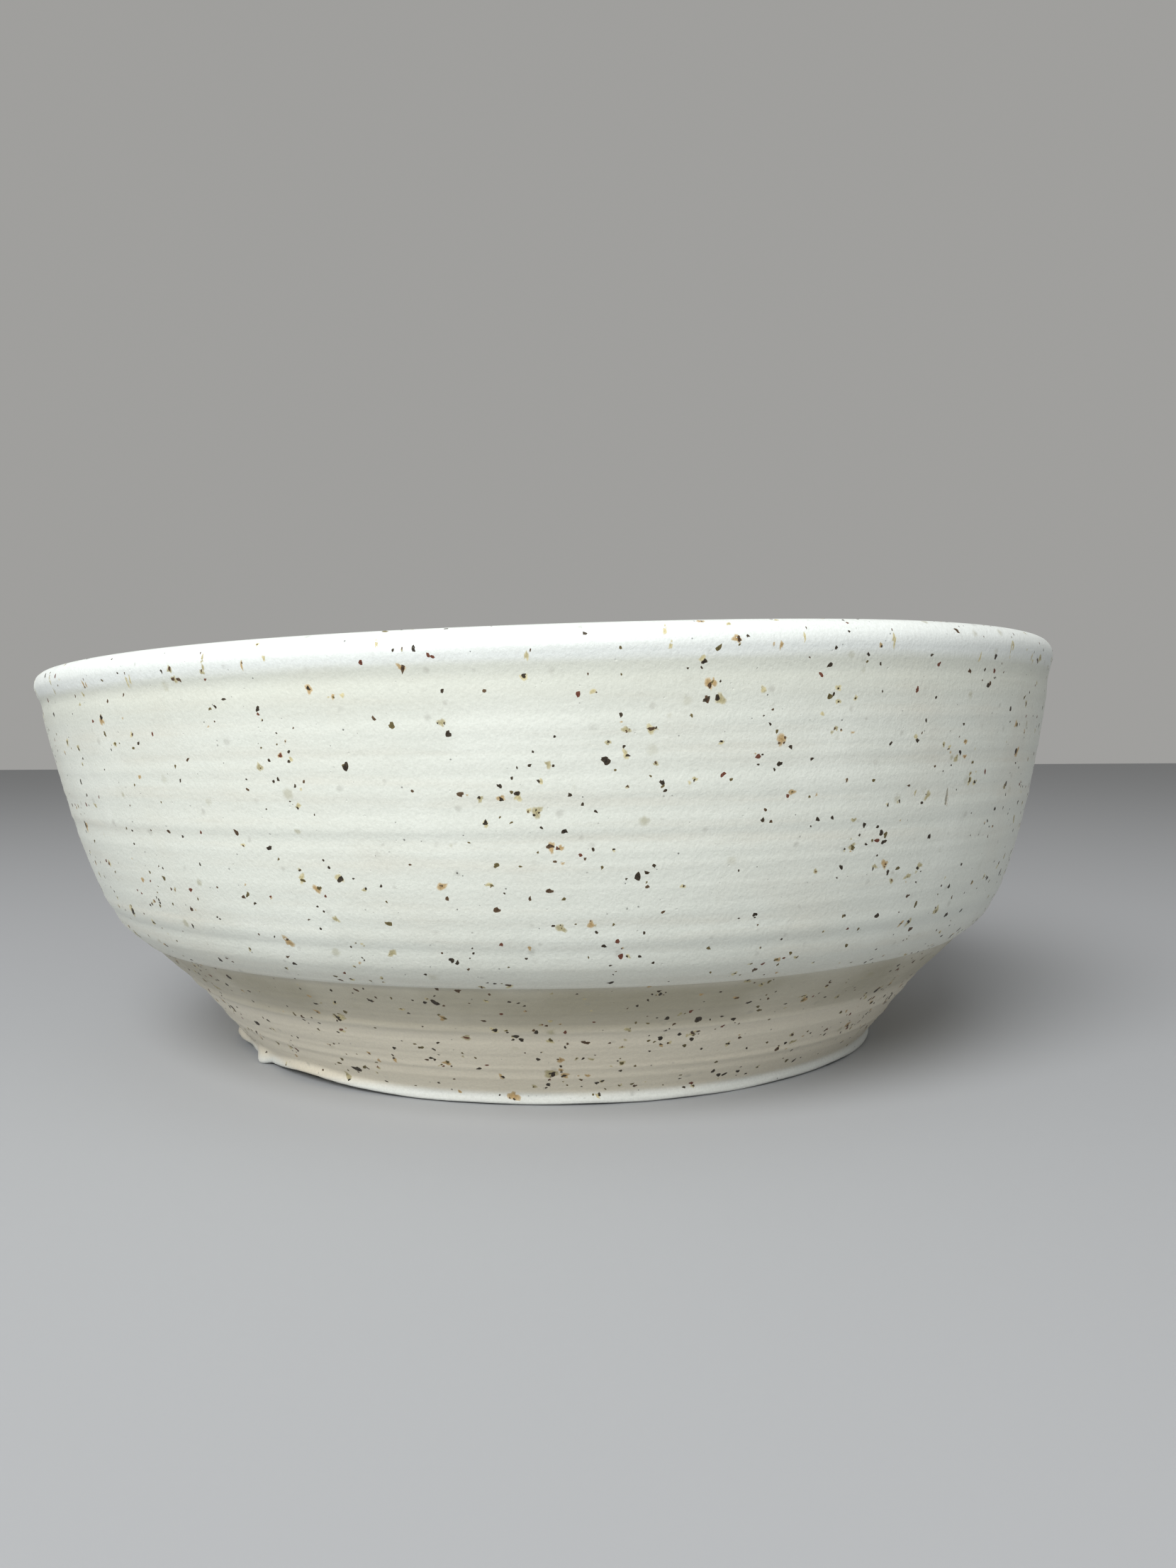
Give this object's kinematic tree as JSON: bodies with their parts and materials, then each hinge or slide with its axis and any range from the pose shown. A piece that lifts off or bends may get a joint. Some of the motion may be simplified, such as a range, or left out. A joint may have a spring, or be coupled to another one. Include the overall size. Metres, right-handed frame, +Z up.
{
  "type": "yarn bowl",
  "caption": "Wheel-thrown speckled stoneware yarn bowl that holds a ball of yarn, with a flared foot, a steep wall, a rounded lip and a curled yarn slot at the back.",
  "frame": {"origin": "on the table, at the centre of the foot, on the bowl's axis", "axes": "+Z up along the bowl's axis, the yarn slot opens through the wall towards +Y, and the plain side faces -Y"},
  "size_m": [0.19, 0.19, 0.0705],
  "materials": {
    "stoneware": "bare fired clay",
    "satin_glaze": "satin, speckled",
    "lip_glaze": "satin, double dipped"
  },
  "bodies": {
    "root": {"clay_wall": "stoneware", "clay_floor": "stoneware", "foot_ring": "stoneware", "wall_glaze": "satin_glaze", "foot_glaze": "satin_glaze", "inner_glaze": "satin_glaze", "slot_glaze": "satin_glaze", "rim_glaze": "lip_glaze"}
  },
  "joints": []
}
